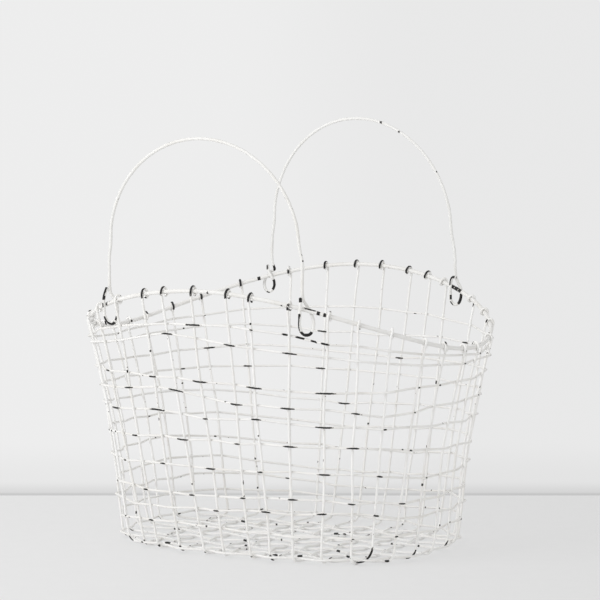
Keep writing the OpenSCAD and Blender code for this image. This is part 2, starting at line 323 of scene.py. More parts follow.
def waves(length, seed, reach):
    """A slow, smooth, random sideways drift along a wire, 0 at its start."""
    rng = np.random.default_rng(seed)
    s = np.asarray(length, float)
    out = np.zeros((len(s), 3))
    for period in (0.31, 0.17, 0.09):
        phase = rng.uniform(0, 2 * math.pi, 3)
        size = rng.uniform(0.3, 1.0, 3) * reach * period / 0.31
        out += size * np.sin(2 * math.pi * s[:, None] / period + phase)
    return out


# ---------------------------------------------------------------------------
# The weave
# ---------------------------------------------------------------------------

class Weave:
    """Centre lines of the rim, the stakes and the rings."""

    def __init__(self, sizes, wires):
        self.sizes = sizes
        self.wires = wires
        self.hook_radius = (wires.rim_d + wires.stake_d) / 2 + wires.weave_gap
        # Heights of the floor's wires: under another, over another, and between the two
        self.low = wires.stake_d / 2
        self.high = self.low + wires.stake_d + wires.weave_gap
        self.mid = (self.low + self.high) / 2
        self.ring_offset = (wires.stake_d + wires.ring_d) / 2 + wires.weave_gap
        self.hook_lead = wires.stake_d + 2 * wires.weave_gap  # how far a hook winds on along the rim
        self.cross_floor = [
            self.floor_line(near[1], far[1], FLOOR_SEEDS["cross"] + i)
            for i, (near, far) in enumerate(zip(CROSS_NEAR, CROSS_FAR))
        ]
        self.long_floor = [
            self.floor_line(left[1], right[1], FLOOR_SEEDS["long"] + i)
            for i, (left, right) in enumerate(zip(LONG_LEFT, LONG_RIGHT))
        ]
        self.ends = [*LONG_LEFT[::-1], *CROSS_NEAR, *LONG_RIGHT, *CROSS_FAR[::-1]]

    def rim_height(self, a):
        s, c = math.sin(math.radians(a)), math.cos(math.radians(a))
        level = mix(self.sizes.end_height, self.sizes.side_height, s * s)
        return level + self.sizes.rim_tilt * s - self.sizes.rim_pitch * c

    def rim_point(self, a):
        z = self.sizes
        return oval(z.rim_length, z.rim_width, z.rim_squareness, a) + UP * self.rim_height(a)

    def rim_tangent(self, a):
        return unit(self.rim_point(a + 0.5) - self.rim_point(a - 0.5))

    def outward(self, a):
        """The level direction out of the basket at an angle of the rim."""
        t = self.rim_tangent(a)
        return unit(np.array([t[1], -t[0], 0.0]))

    def floor_point(self, a):
        z = self.sizes
        return oval(z.floor_length, z.floor_width, z.floor_squareness, a) + UP * self.mid

    def hook_point(self, a, turn, along, looseness=0.0):
        """A point of a hook, turned from the rim's outside over its top."""
        t, o = self.rim_tangent(a), self.outward(a)
        up = np.cross(o, t)
        turn = math.radians(turn)
        reach = self.hook_radius * math.cos(turn) * o
        reach = reach + (self.hook_radius + looseness * max(0.0, math.sin(turn))) * math.sin(turn) * up
        return self.rim_point(a) + reach + along * t

    def hook(self, end, seed):
        """The turn of a stake round the rim, from its free end to the outside of the wall."""
        rng = np.random.default_rng(HOOK_SEEDS + seed)
        turn = rng.uniform(285, 345)
        lead = self.hook_lead * rng.uniform(0.95, 1.3)
        loose = rng.uniform(0.0004, 0.0016)
        steps = 14
        return [
            self.hook_point(end[0], turn * i / steps, lead * (i / steps - 0.5), loose)
            for i in range(steps, -1, -1)
        ]

    def wall_point(self, end, share):
        """The centre of a stake's wall at a share of its height."""
        top = self.hook_point(end[0], 0, -self.hook_lead / 2)
        swell = mix(-self.sizes.end_waist, self.sizes.side_bulge, math.sin(math.radians(end[0])) ** 2)
        bulge = swell * math.sin(math.pi * share**1.2) * self.outward(end[0])
        return mix(self.floor_point(end[1]), top, share) + bulge

    def wall(self, end, seed):
        """Points down a wall, from below the rim to above the bend."""
        count = len(WALL_SHARES)
        drift = waves(np.linspace(0, 0.25, count), WALL_SEEDS + seed, self.sizes.hand_wobble)
        fade = np.sin(np.pi * np.linspace(0.06, 0.94, count)) ** 0.5
        return [self.wall_point(end, s) + drift[i] * fade[i] for i, s in enumerate(WALL_SHARES)]

    def bend_corners(self, end, inward, seed):
        """The three points that a bend is drawn between, and the length of its legs."""
        loose = LOOSE_BENDS.get(seed - END_SEEDS["right"])
        leg = loose or BEND_LEG + BEND_LEG_SPREAD * np.random.default_rng(BEND_SEEDS + seed).random()
        share = (leg + self.mid) / self.rim_height(end[0])
        corner = self.floor_point(end[1])
        return self.wall_point(end, share), corner, corner + leg * inward, leg

    def bend(self, end, inward, seed):
        a, corner, c, _ = self.bend_corners(end, inward, seed)
        return [mix(mix(a, corner, t), mix(corner, c, t), t) for t in np.linspace(0, 1, 6)]

    def bend_crossing(self, k):
        """Where the bottom ring meets a bend, and how far beside it the ring passes."""
        end = self.ends[k]
        a, corner, c, leg = self.bend_corners(end, -self.outward(end[0]), self.end_seed(k))
        t = 1 - math.sqrt(BOTTOM_RING_LIFT / leg)
        steepness = (1 - t) / math.hypot(t, 1 - t)
        return mix(mix(a, corner, t), mix(corner, c, t), t), (self.ring_offset + BOTTOM_RING_ROOM) / steepness

    def end_seed(self, k):
        """The same seed for a stake's end whether it is asked for by the stake or by a ring."""
        left, near = len(LONG_LEFT), len(CROSS_NEAR)
        if k < left:
            return END_SEEDS["left"] + left - 1 - k
        if k < left + near:
            return END_SEEDS["near"] + k - left
        if k < FAR_FIRST:
            return END_SEEDS["right"] + k - left - near
        return END_SEEDS["far"] + len(self.ends) - 1 - k

    def floor_line(self, a, b, seed):
        """A floor wire from edge to edge, seen from above, slightly bowed."""
        rng = np.random.default_rng(seed)
        p, q = self.floor_point(a), self.floor_point(b)
        t = np.linspace(0, 1, 60)[:, None]
        along = unit(q - p)
        across = np.cross(UP, along)
        bow = rng.uniform(-1, 1) * FLOOR_BOW * np.sin(np.pi * t)
        snake = rng.uniform(-1, 1) * FLOOR_SNAKE * np.sin(2 * np.pi * t)
        return p + (q - p) * t + (bow + snake) * across

    def crossings(self, line, others):
        """Where a floor wire meets the wires of the other kind: (point, direction) in order."""
        found = []
        for other in others:
            # Each piece ab of the line against each piece cd of the other, all at once
            a, b = line[:-1, None, :2], line[1:, None, :2]
            c, d = other[None, :-1, :2], other[None, 1:, :2]
            r, s = b - a, d - c
            denominator = r[..., 0] * s[..., 1] - r[..., 1] * s[..., 0]
            qp = c - a
            t = (qp[..., 0] * s[..., 1] - qp[..., 1] * s[..., 0]) / denominator
            u = (qp[..., 0] * r[..., 1] - qp[..., 1] * r[..., 0]) / denominator
            hit = np.argwhere((t >= 0) & (t < 1) & (u >= 0) & (u < 1))
            if len(hit) == 0:
                raise RuntimeError("two floor wires that should cross don't meet")
            i = hit[0][0]
            share = t[tuple(hit[0])]
            found.append((mix(line[i], line[i + 1], share), unit(line[i + 1] - line[i])))
        return found

    def stake(self, line, others, ends, seeds, high_first):
        """A whole stake's path, from hook to hook, over and under the others on the floor."""
        first, last = ends
        first_seed, last_seed = seeds
        along_a, along_b = unit(line[1] - line[0]), unit(line[-2] - line[-1])
        floor = []
        for k, (point, along) in enumerate(self.crossings(line, others)):
            level = self.high if (k % 2 == 0) == high_first else self.low
            middle = np.array([point[0], point[1], level])
            floor += [middle - FLOOR_CREST * along, middle + FLOOR_CREST * along]
        points = (
            self.hook(first, first_seed)
            + self.wall(first, first_seed)
            + self.bend(first, along_a, first_seed)
            + floor
            + self.bend(last, along_b, last_seed)[::-1]
            + self.wall(last, last_seed)[::-1]
            + self.hook(last, last_seed)[::-1]
        )
        return smooth_path(points, self.wires.step)

    def cross_stake(self, i):
        ends = CROSS_NEAR[i], CROSS_FAR[i]
        seeds = END_SEEDS["near"] + i, END_SEEDS["far"] + i
        return self.stake(self.cross_floor[i], self.long_floor, ends, seeds, i % 2 == 0)

    def long_stake(self, i):
        ends = LONG_LEFT[i], LONG_RIGHT[i]
        seeds = END_SEEDS["left"] + i, END_SEEDS["right"] + i
        return self.stake(self.long_floor[i], self.cross_floor, ends, seeds, i % 2 == 1)

    def ring_share(self, ring, a):
        """A wall ring's height at an angle, as a share of the rim's height."""
        end, near, far = RING_SHARES[ring]
        s = math.sin(math.radians(a))
        share = mix(end, near if s < 0 else far, s * s)
        sway = math.sin(math.radians(3 * a + 47 * ring)) + 0.6 * math.sin(math.radians(5 * a + 111 * ring))
        for place, reach, lift in RING_NUDGES.get(ring, ()):
            share += lift * math.exp(-(((a - place + 180) % 360 - 180) / reach) ** 2)
        return share + RING_SWAY / self.sizes.end_height * sway

    def ring_middle(self, ring, k):
        """The centre of stake end k where the ring passes it."""
        end = self.ends[k]
        share = self.ring_share(ring, end[0])
        wall = self.wall(end, self.end_seed(k))
        # The wall's own points and one more near each end, so that every ring lies between two
        points = np.array([self.wall_point(end, 0.98)] + wall + [self.wall_point(end, 0.03)])
        shares = np.concatenate([[0.98], WALL_SHARES, [0.03]])
        return np.array([np.interp(-share, -shares, points[:, i]) for i in range(3)])

    def ring(self, ring):
        """A ring's path, and for each stake end the crown's place and the way it faces."""
        count = len(self.ends)
        if ring < WALL_RINGS:
            mids = [self.ring_middle(ring, k) for k in range(count)]
            offsets = [self.ring_offset] * count
        else:
            mids, offsets = zip(*(self.bend_crossing(k) for k in range(count)))
        points, crowns = [], []
        for k, end in enumerate(self.ends):
            side = self.outward(end[0]) * (1 if (ring + k) % 2 == 0 else -1)
            along = unit(mids[(k + 1) % count] - mids[k - 1])
            centre = mids[k] + offsets[k] * side
            points += [centre - RING_CREST * along, centre + RING_CREST * along]
            crowns.append((centre, side))
        return smooth_path(points, self.wires.step, closed=True), crowns

    def rim(self):
        return smooth_path([self.rim_point(a) for a in np.arange(0, 360, 6)], self.wires.step, closed=True)


# ---------------------------------------------------------------------------
# Handles
# ---------------------------------------------------------------------------

# Each handle's two eyes: the angle of the rim where it hangs, then its wire from the free end round
# the rim to the shank, in millimetres along the handle's foot line, into the basket and upwards.
EYES = {
    "near_handle": (
        (-125, (
            (-1.6, -2.7, 14.5), (-3.8, -2.7, 9.5), (-5.6, -2.5, 4.3), (-6.3, -2, -2.5), (-6.2, -1.9, -9),
            (-5.1, -1.6, -15), (-2.3, -0.7, -19), (1.5, 0.5, -20), (4.8, 1.6, -16.5), (6.2, 2.1, -10.5),
            (6.2, 2.4, -4.5), (4.9, 2.6, 1.2), (2.5, 1.9, 5.2), (0.5, 0.5, 9.5), (0, 0.2, 15), (0.6, 0, 31),
        )),
        (-61, (
            (-2.6, -3.1, 11), (-2.4, -3.7, 6), (-2, -5.5, 1.5), (-2.4, -5.4, -3), (-3.4, -4.6, -9),
            (-3.8, -4.2, -15), (-3, -3, -20), (0, -1, -23), (3.4, 1.2, -22.5), (5.6, 3.4, -18),
            (5.8, 4.7, -11.5), (3.8, 5.4, -5.5), (1.4, 5.4, -0.5), (-0.9, 3.9, 4), (-2.1, 1.6, 8),
            (-2.5, 0.4, 13), (-1.8, 0, 28),
        )),
    ),
    "far_handle": (
        (56.5, (
            (-2.4, 3.2, 11.5), (0.5, 3.4, 11.8), (3, 2.6, 9.5), (4.4, 1.8, 4.5), (4.7, 2.6, -0.5),
            (4.9, 1.8, -6), (4.8, 1.2, -12), (3, 0.6, -15.8), (0, 0, -17), (-3.4, -0.4, -15),
            (-5.2, -1, -10.5), (-5.4, -2, -5), (-4.5, -2.8, 0), (-2.4, -1.9, 4.8), (-1.1, -0.4, 10),
            (0, 0, 17), (0, 0, 30),
        )),
        (120, (
            (4.5, 1.8, 10.5), (4, 2.6, 6.5), (1.5, 4.1, 3), (-0.9, 4.5, -0.5), (-2.8, 2.2, -5.5),
            (-2.4, 1, -11), (0.6, 0.4, -16), (4.8, 0.6, -18), (8.4, 1.2, -15.5), (10, 0.8, -9.5),
            (9.2, -0.6, -4.3), (6.4, -2.1, -0.3), (2.4, -1.9, 3.6), (-2, -0.9, 6.4), (-1.3, 0, 10),
            (0, 0, 15), (0, 0, 28),
        )),
    ),
}
# Bare stretches of the eye that hangs at each angle: first and last of its points above, the way the
# bare side faces, and how much of the wire's girth stays painted, from -1 for none.
EYE_WEAR = {
    -125: (
        (0, 0.5, (-1, -1, 0), -0.2),
        (0.6, 1.5, (-1, -1, 0.3), 0.1),
        (1.6, 2.1, (-0.6, -1, 0.3), -0.6),
        (2.7, 3.3, (-1, -0.4, 0), -0.1),
        (4.8, 5.9, (-0.5, -0.8, -0.6), 0.1),
        (5.9, 7.4, (-0.5, -0.8, -0.8), -0.1),
        (7.9, 8.5, (-1, -0.6, 0.6), -0.3),
        (11, 12.4, (0.4, 1, 0.2), 0.75),
    ),
    -61: (
        (0, 0.7, (0.2, -1, 0), -0.3),
        (3.1, 3.3, (-1, -1, 0), -0.3),
        (3.5, 4.4, (-1, -1, 0), 0.2),
        (4.7, 5.5, (-1, -0.8, 0), 0.3),
        (5.9, 7.1, (0, -0.8, -0.7), 0),
        (7.1, 8.4, (0, -0.8, 0.2), -0.4),
    ),
    56.5: (
        (0.6, 3.2, (1, 0.6, 0.6), 0.1),
        (5.2, 5.8, (-1, 0.6, 0), 0.4),
        (6.4, 7.1, (1, 0.5, -1), -0.1),
        (8.9, 9.8, (0, 1, 0.6), -0.5),
        (9.9, 10.8, (0, 1, 0.6), -0.2),
    ),
    120: (
        (0.2, 1, (1, 1, 0), 0),
        (3.8, 5.8, (1, 1, 0.2), -0.7),
        (6.8, 7.4, (0, 0.6, -1), 0.1),
        (7.6, 9.6, (1, 0.2, -0.5), 0.6),
        (12.8, 13.9, (-1, 0.5, 0), 0.1),
    ),
}
# Bare specks on each arch: share of the wire's length, the way the speck faces, half its length
ARCH_SPECKS = {
    "near_handle": (
        (0.27, (-0.3, 1, 0.2), 0.0014),
        (0.44, (0, 0.4, 1), 0.0009),
        (0.6, (-0.4, 1, 0), 0.0017),
        (0.8, (1, 0.2, 0), 0.001),
    ),
    "far_handle": (
        (0.2, (0, 1, 0), 0.0012),
        (0.31, (1, 0, 0), 0.0008),
        (0.41, (0.5, -0.8, -0.5), 0.0014),
        (0.45, (0.5, -0.8, 0.3), 0.0015),
        (0.52, (-0.5, 1, 0), 0.0012),
        (0.73, (0, 1, 0.2), 0.0017),
    ),
}
# Bare places on the rim where the eyes rub it: angle, half length, way it faces, painted girth
RIM_WEAR = (
    (-126.4, 0.0020, (-0.6, -0.6, 0.4), 0.1),
    (-124.6, 0.0022, (0, -0.3, 1), 0.8),
    (-60.4, 0.0035, (0.2, -0.5, 1), 0.75),
    (-59, 0.0040, (0.2, -0.5, 1), 0.8),
    (-57.5, 0.0017, (0.3, -1, 0.1), 0.3),
    (-55.8, 0.0017, (0.3, -1, 0), 0.3),
    (124.2, 0.0018, (0.7, -1, 0.1), 0),
    (57.3, 0.0030, (-0.3, -1, 0.6), 0.3),
    (55.6, 0.0036, (-0.4, -1, 0.5), 0.1),
    (53.9, 0.0026, (-0.4, -1, 0.5), 0.3),
)
MILLIMETRE = 0.001
# A leg's shaping point: its height as a share of the leg's, and how much of the draw it has by then
LEG_POINT_HEIGHT = 0.75
LEG_POINT_DRAW = 0.3


def eye_path(eye, foot, along, into, up):
    """An eye's points in the object's frame, from its free end to its shank."""
    return [foot + MILLIMETRE * (p[0] * along + p[1] * into + p[2] * up) for p in eye[1]]


def arch_points(half, height, sizes):
    """An arch between feet at -half and half: (along the foot line, 0, upwards)."""
    top_half, rise = half - sizes.leg_draw, height - sizes.leg_height
    leg_x, leg_z = half - LEG_POINT_DRAW * sizes.leg_draw, LEG_POINT_HEIGHT * sizes.leg_height
    turns = [math.radians(turn) for turn in range(180, -1, -12)]
    top = [(top_half * math.cos(turn), 0, sizes.leg_height + rise * math.sin(turn)) for turn in turns]
    return [(-leg_x, 0, leg_z), *top, (leg_x, 0, leg_z)]


def handle_path(weave, name, wires, sizes):
    """A handle's path, and the bare stretches of its two eyes as (points, faces, painted girth)."""
    near = name == "near_handle"
    height, lean = (sizes.near_height, sizes.near_lean) if near else (sizes.far_height, sizes.far_lean)
    eyes = EYES[name]
    a, b = (weave.rim_point(eye[0]) for eye in eyes)
    middle = (a + b) / 2
    along = unit(b - a)
    level = squared_to(UP, along)
    inward = np.cross(level, along)
    up = math.cos(lean) * level - math.sin(lean) * inward
    into = math.cos(lean) * inward + math.sin(lean) * level
    arch = arch_points(np.linalg.norm(b - a) / 2, height, sizes)
    first, last = (eye_path(eye, foot, along, into, up) for eye, foot in zip(eyes, (a, b)))
    points = first + [middle + p[0] * along + p[1] * into + p[2] * up for p in arch] + last[::-1]
    worn = []
    for eye, placed in zip(eyes, (first, last)):
        placed = np.array(placed)
        for start, end, faces, girth in EYE_WEAR[eye[0]]:
            at = np.linspace(start, end, 12)
            stretch = np.stack([np.interp(at, np.arange(len(placed)), placed[:, i]) for i in range(3)], 1)
            worn.append((stretch, faces[0] * along + faces[1] * into + faces[2] * up, girth))
    return smooth_path(points, wires.step), worn


# ---------------------------------------------------------------------------
# Tubes
# ---------------------------------------------------------------------------

LUMP_PERIODS = (0.023, 0.011, 0.0061)  # lengths of the swells in the paint's thickness
# A cut end is rounded off by one smaller ring and a middle point, in shares of the wire's diameter
TIP_RING_AHEAD = 0.16
TIP_RING_WIDTH = 0.62
TIP_MIDDLE_AHEAD = 0.05


def carried_normals(directions, closed):
    """Section directions carried along a wire without twisting."""
    start = UP if abs(directions[0][2]) < 0.9 else np.array([1.0, 0, 0])
    normals = [squared_to(start, directions[0])]
    for d in directions[1:]:
        normals.append(squared_to(normals[-1], d))
    normals = np.array(normals)
    if closed:
        last = squared_to(normals[-1], directions[0])
        across = np.cross(directions[0], normals[0])
        turn = math.atan2(np.dot(last, across), np.dot(last, normals[0]))
        for i in range(len(normals)):
            a = -turn * i / len(normals)
            side = np.cross(directions[i], normals[i])
            normals[i] = math.cos(a) * normals[i] + math.sin(a) * side
    return normals


def uneven_paint(rng, s, turn, closed):
    """Swells in the paint's thickness, for each cross section and corner of a wire."""
    uneven = np.zeros((len(s), len(turn)))
    for period in LUMP_PERIODS:
        shift, swing = rng.uniform(0, 2 * math.pi, 2)
        uneven += np.sin(2 * math.pi * s[:, None] / period + shift + swing * np.cos(turn - shift))
    if closed:
        # The swells fade out towards the seam
        place = np.arange(len(s))
        uneven *= np.minimum(1, np.minimum(place, place[::-1])[:, None] / 12)
    return uneven


def wire_tube(name, path, diameter, sides, lumps, wear_at, seed, closed=False, end_wear=0.0):
    """A round wire with slightly uneven paint, and its wear stored on its points."""
    count = len(path)
    if closed:
        directions = np.roll(path, -1, 0) - np.roll(path, 1, 0)
    else:
        directions = np.gradient(path, axis=0)
    directions /= np.linalg.norm(directions, axis=1)[:, None]
    normals = carried_normals(directions, closed)
    across = np.cross(directions, normals)
    turn = 2 * math.pi * np.arange(sides) / sides
    facing = np.cos(turn)[:, None] * normals[:, None] + np.sin(turn)[:, None] * across[:, None]
    rng = np.random.default_rng(seed)
    uneven = uneven_paint(rng, arc_lengths(path), turn, closed)
    radius = diameter / 2 + lumps * uneven / len(LUMP_PERIODS)
    points = path[:, None, :] + radius[:, :, None] * facing
    vertices = points.reshape(-1, 3)
    wear = wear_at(path, facing).reshape(-1)
    faces = []
    for i in range(count if closed else count - 1):
        j = (i + 1) % count
        for k in range(sides):
            n = (k + 1) % sides
            faces.append((i * sides + k, j * sides + k, j * sides + n, i * sides + n))
    if not closed:
        for at, away in ((0, -1), (count - 1, 1)):
            base = len(vertices)
            tip = path[at] + away * directions[at] * diameter * TIP_RING_AHEAD
            ring = tip + TIP_RING_WIDTH * (points[at] - path[at])
            middle = tip[None] + away * directions[at] * diameter * TIP_MIDDLE_AHEAD
            vertices = np.vstack([vertices, ring, middle])
            wear = np.concatenate([wear, np.full(sides + 1, end_wear)])
            for k in range(sides):
                n = (k + 1) % sides
                quad = (at * sides + k, at * sides + n, base + n, base + k)
                cap = (base + k, base + n, base + sides)
                faces += [quad, cap] if away > 0 else [quad[::-1], cap[::-1]]
    mesh = bpy.data.meshes.new(name)
    mesh.from_pydata([tuple(v) for v in vertices], [], faces)
    mesh.validate()
    for face in mesh.polygons:
        face.use_smooth = True
    tone = np.full(len(vertices), rng.random())
    for attribute, values in (("wear", np.clip(wear, 0, 1)), ("tone", tone)):
        values = values.astype(np.float32)
        mesh.attributes.new(attribute, "FLOAT", "POINT").data.foreach_set("value", values)
    wire = bpy.data.objects.new(name, mesh)
    bpy.context.scene.collection.objects.link(wire)
    return wire


# ---------------------------------------------------------------------------
# Wear: 0 is whole paint, 1 is bare steel. The material breaks its edges up.
# ---------------------------------------------------------------------------

# Small bare spots anywhere on a wire: how many, and their least and most reach
SPECKS = {"stake": (6, 0.0007, 0.0021), "ring": (6, 0.0006, 0.0016), "rim": (5, 0.0006, 0.0012)}
FLOOR_SCUFFS = 4  # rubbed places of each stake where it runs high on the floor
# Where a hook may be rubbed, in degrees from the rim's outside over its top
HOOK_OUTSIDE = (-50, -20, 10, 40, 70)
HOOK_INSIDE = (85, 110, 135, 160, 185)
EYE_RUB_REACH = 0.0011  # how far an eye is rubbed round the points of its bare stretches
EYE_RUB_STRENGTH = 0.82  # how bare it is there


def rub(distance, facing, direction, reach, girth, strength):
    """Wear that is full near its place and gone past the reach, on the side that faces the direction."""
    near = np.clip(1.35 - distance / reach, 0, 1)
    side = np.clip((facing @ unit(direction) - girth) * 2.5 + 0.5, 0, 1)
    return strength * near[:, None] * side


def rubbed(path, facing, place, direction, reach, girth, strength=1.0):
    """Wear round a place on a wire. The girth that stays painted runs from -1 for none to 1."""
    return rub(np.linalg.norm(path - place, axis=1), facing, direction, reach, girth, strength)


def rubbed_stretch(path, facing, stretch, direction, girth):
    """Wear along a stretch of a wire given by points on it."""
    distance = np.min([np.linalg.norm(path - place, axis=1) for place in stretch], axis=0)
    return rub(distance, facing, direction, EYE_RUB_REACH, girth, EYE_RUB_STRENGTH)


def specks(path, facing, rng, count, low, high):
    """Small bare spots anywhere on a wire."""
    wear = np.zeros(facing.shape[:2])
    for _ in range(count):
        i = rng.integers(len(path))
        direction = facing[i, rng.integers(facing.shape[1])]
        wear = np.maximum(wear, rubbed(path, facing, path[i], direction, rng.uniform(low, high), 0.5))
    return wear


def stake_wear(weave, ends, seed):
    """A stake is scuffed on the floor and rubbed at its hooks and at the outside of its bends."""
    rng = np.random.default_rng(seed)

    def wear_at(path, facing):
        wear = specks(path, facing, rng, *SPECKS["stake"])
        over = np.flatnonzero((path[:, 2] > weave.mid) & (path[:, 2] < weave.high + 0.0005))
        for i in rng.choice(over, FLOOR_SCUFFS, replace=False):
            direction = (0, rng.choice((-1, 1)), rng.uniform(0.2, 0.8))
            reach = rng.uniform(0.0009, 0.0034)
            wear = np.maximum(wear, rubbed(path, facing, path[i], direction, reach, 0.3))
        for end, hook, bend in ends:
            t, o = weave.rim_tangent(end[0]), weave.outward(end[0])
            up = np.cross(o, t)
            centre = weave.rim_point(end[0])
            for amount, turns in zip(hook, (HOOK_OUTSIDE, HOOK_INSIDE)):
                for turn in turns:
                    turn = math.radians(turn + rng.uniform(-8, 8))
                    direction = math.cos(turn) * o + math.sin(turn) * up
                    place = centre + weave.hook_radius * direction
                    if rng.random() < amount:
                        reach = 0.0013 + 0.0012 * amount
                        wear = np.maximum(wear, rubbed(path, facing, place, direction, reach, 0.05))
            if rng.random() < bend + 0.2:
                reach = (0.0015 + 0.0045 * bend) * rng.uniform(0.8, 1.2)
                corner = path[np.linalg.norm(path - weave.floor_point(end[1]), axis=1).argmin()]
                strength = min(1.0, 0.6 + bend)
                wear = np.maximum(wear, rubbed(path, facing, corner, o - 0.7 * UP, reach, 0.15, strength))
        return wear

    return wear_at


def crown_rub(ring, k, outside):
    """How likely a ring is rubbed where it passes stake end k, and the least and most reach."""
    if ring == WALL_RINGS:
        return 0.2, 0.0012, 0.0026
    pair = (k - len(LONG_LEFT)) // 2
    if outside and 0 <= pair < len(CROWN_WEAR[ring]):
        reach = CROWN_REACH * CROWN_WEAR[ring][pair]
        return (1.0 if reach > 0 else 0.0), reach, reach
    if k >= FAR_FIRST:
        return (0.5 if outside else 0.22), 0.0030, 0.0075
    return (0.45 if outside else 0.2), 0.0016, 0.0048


def ring_wear(ring, crowns):
    """A ring is rubbed where it bulges over a stake, most of all outside the near wall."""
    rng = np.random.default_rng(WEAR_SEEDS["ring"] + ring)

    def wear_at(path, facing):
        wear = specks(path, facing, rng, *SPECKS["ring"])
        for k, (place, direction) in enumerate(crowns):
            chance, low, high = crown_rub(ring, k, np.dot(direction[:2], place[:2]) > 0)
            shift = rng.uniform(-0.0015, 0.0015, 3) * (1, 1, 0)
            reach, strength = rng.uniform(low, high), rng.uniform(0.86, 1.0)
            if rng.random() < chance:
                wear = np.maximum(wear, rubbed(path, facing, place + shift, direction, reach, 0.62, strength))
        if ring == 0:
            eighth = len(LONG_LEFT) + 7
            for share, reach in TOP_RING_DASHES:
                place = mix(crowns[eighth][0], crowns[eighth + 1][0], share)
                i = np.linalg.norm(path - place, axis=1).argmin()
                wear = np.maximum(wear, rubbed(path, facing, path[i], (0.4, -1, 0.1), reach, 0.55))
        return wear

    return wear_at


def rim_wear(weave):
    """The rim is rubbed where the handles' eyes hang and has a few specks elsewhere."""
    rng = np.random.default_rng(WEAR_SEEDS["rim"])

    def wear_at(path, facing):
        wear = specks(path, facing, rng, *SPECKS["rim"])
        for angle, reach, faces, girth in RIM_WEAR:
            wear = np.maximum(wear, rubbed(path, facing, weave.rim_point(angle), faces, reach, girth))
        return wear

    return wear_at


def handle_wear(worn, spots):
    """Eyes are rubbed bare in stretches, and arches carry a few specks."""
    def wear_at(path, facing):
        wear = np.zeros(facing.shape[:2])
        for share, faces, reach in spots:
            place = path[int(share * len(path))]
            wear = np.maximum(wear, rubbed(path, facing, place, faces, reach, 0.4))
        for stretch, faces, girth in worn:
            wear = np.maximum(wear, rubbed_stretch(path, facing, stretch, faces, girth))
        return wear

    return wear_at


# ---------------------------------------------------------------------------
# Material
# ---------------------------------------------------------------------------

class Nodes:
    """Short ways to add and join a material's nodes."""

    def __init__(self, tree):
        self.tree = tree
        tree.nodes.clear()

    def add(self, kind, **values):
        node = self.tree.nodes.new(kind)
        for key, value in values.items():
            setattr(node, key, value)
        return node

    def join(self, output, target):
        self.tree.links.new(output, target)

    def math(self, operation, a, b):
        node = self.add("ShaderNodeMath", operation=operation)
        for value, socket in zip((a, b), node.inputs):
            if isinstance(value, (int, float)):
                socket.default_value = value
            else:
                self.join(value, socket)
        return node.outputs[0]

    def plus(self, a, b):
        return self.math("ADD", a, b)

    def times(self, a, b):
        return self.math("MULTIPLY", a, b)

    def larger(self, a, b):
        return self.math("MAXIMUM", a, b)

    def blend(self, factor, a, b):
        node = self.add("ShaderNodeMix", data_type="RGBA")
        self.join(factor, node.inputs["Factor"])
        for value, socket in ((a, node.inputs[6]), (b, node.inputs[7])):
            if isinstance(value, (tuple, list)):
                socket.default_value = (*value, 1)
            else:
                self.join(value, socket)
        return node.outputs[2]

    def noise(self, coordinates, scale, detail=2.0, roughness=0.5):
        node = self.add("ShaderNodeTexNoise")
        node.inputs["Scale"].default_value = scale
        node.inputs["Detail"].default_value = detail
        node.inputs["Roughness"].default_value = roughness
        self.join(coordinates, node.inputs["Vector"])
        return node.outputs["Fac"]

    def dot(self, vector, constant):
        node = self.add("ShaderNodeVectorMath", operation="DOT_PRODUCT")
        self.join(vector, node.inputs[0])
        node.inputs[1].default_value = tuple(constant)
        return node.outputs["Value"]

    def scaled(self, colour, factor):
        """A fixed colour, lighter or darker by a factor that comes from a socket."""
        node = self.add("ShaderNodeVectorMath", operation="SCALE")
        node.inputs[0].default_value = tuple(colour)
        self.join(factor, node.inputs["Scale"])
        return node.outputs[0]

    def span(self, value, low, high, to_low=0.0, to_high=1.0):
        """A soft step from to_low to to_high while the value goes from low to high."""
        node = self.add("ShaderNodeMapRange", clamp=True, interpolation_type="SMOOTHSTEP")
        self.join(value, node.inputs["Value"])
        for key, number in (("From Min", low), ("From Max", high), ("To Min", to_low), ("To Max", to_high)):
            node.inputs[key].default_value = number
        return node.outputs["Result"]


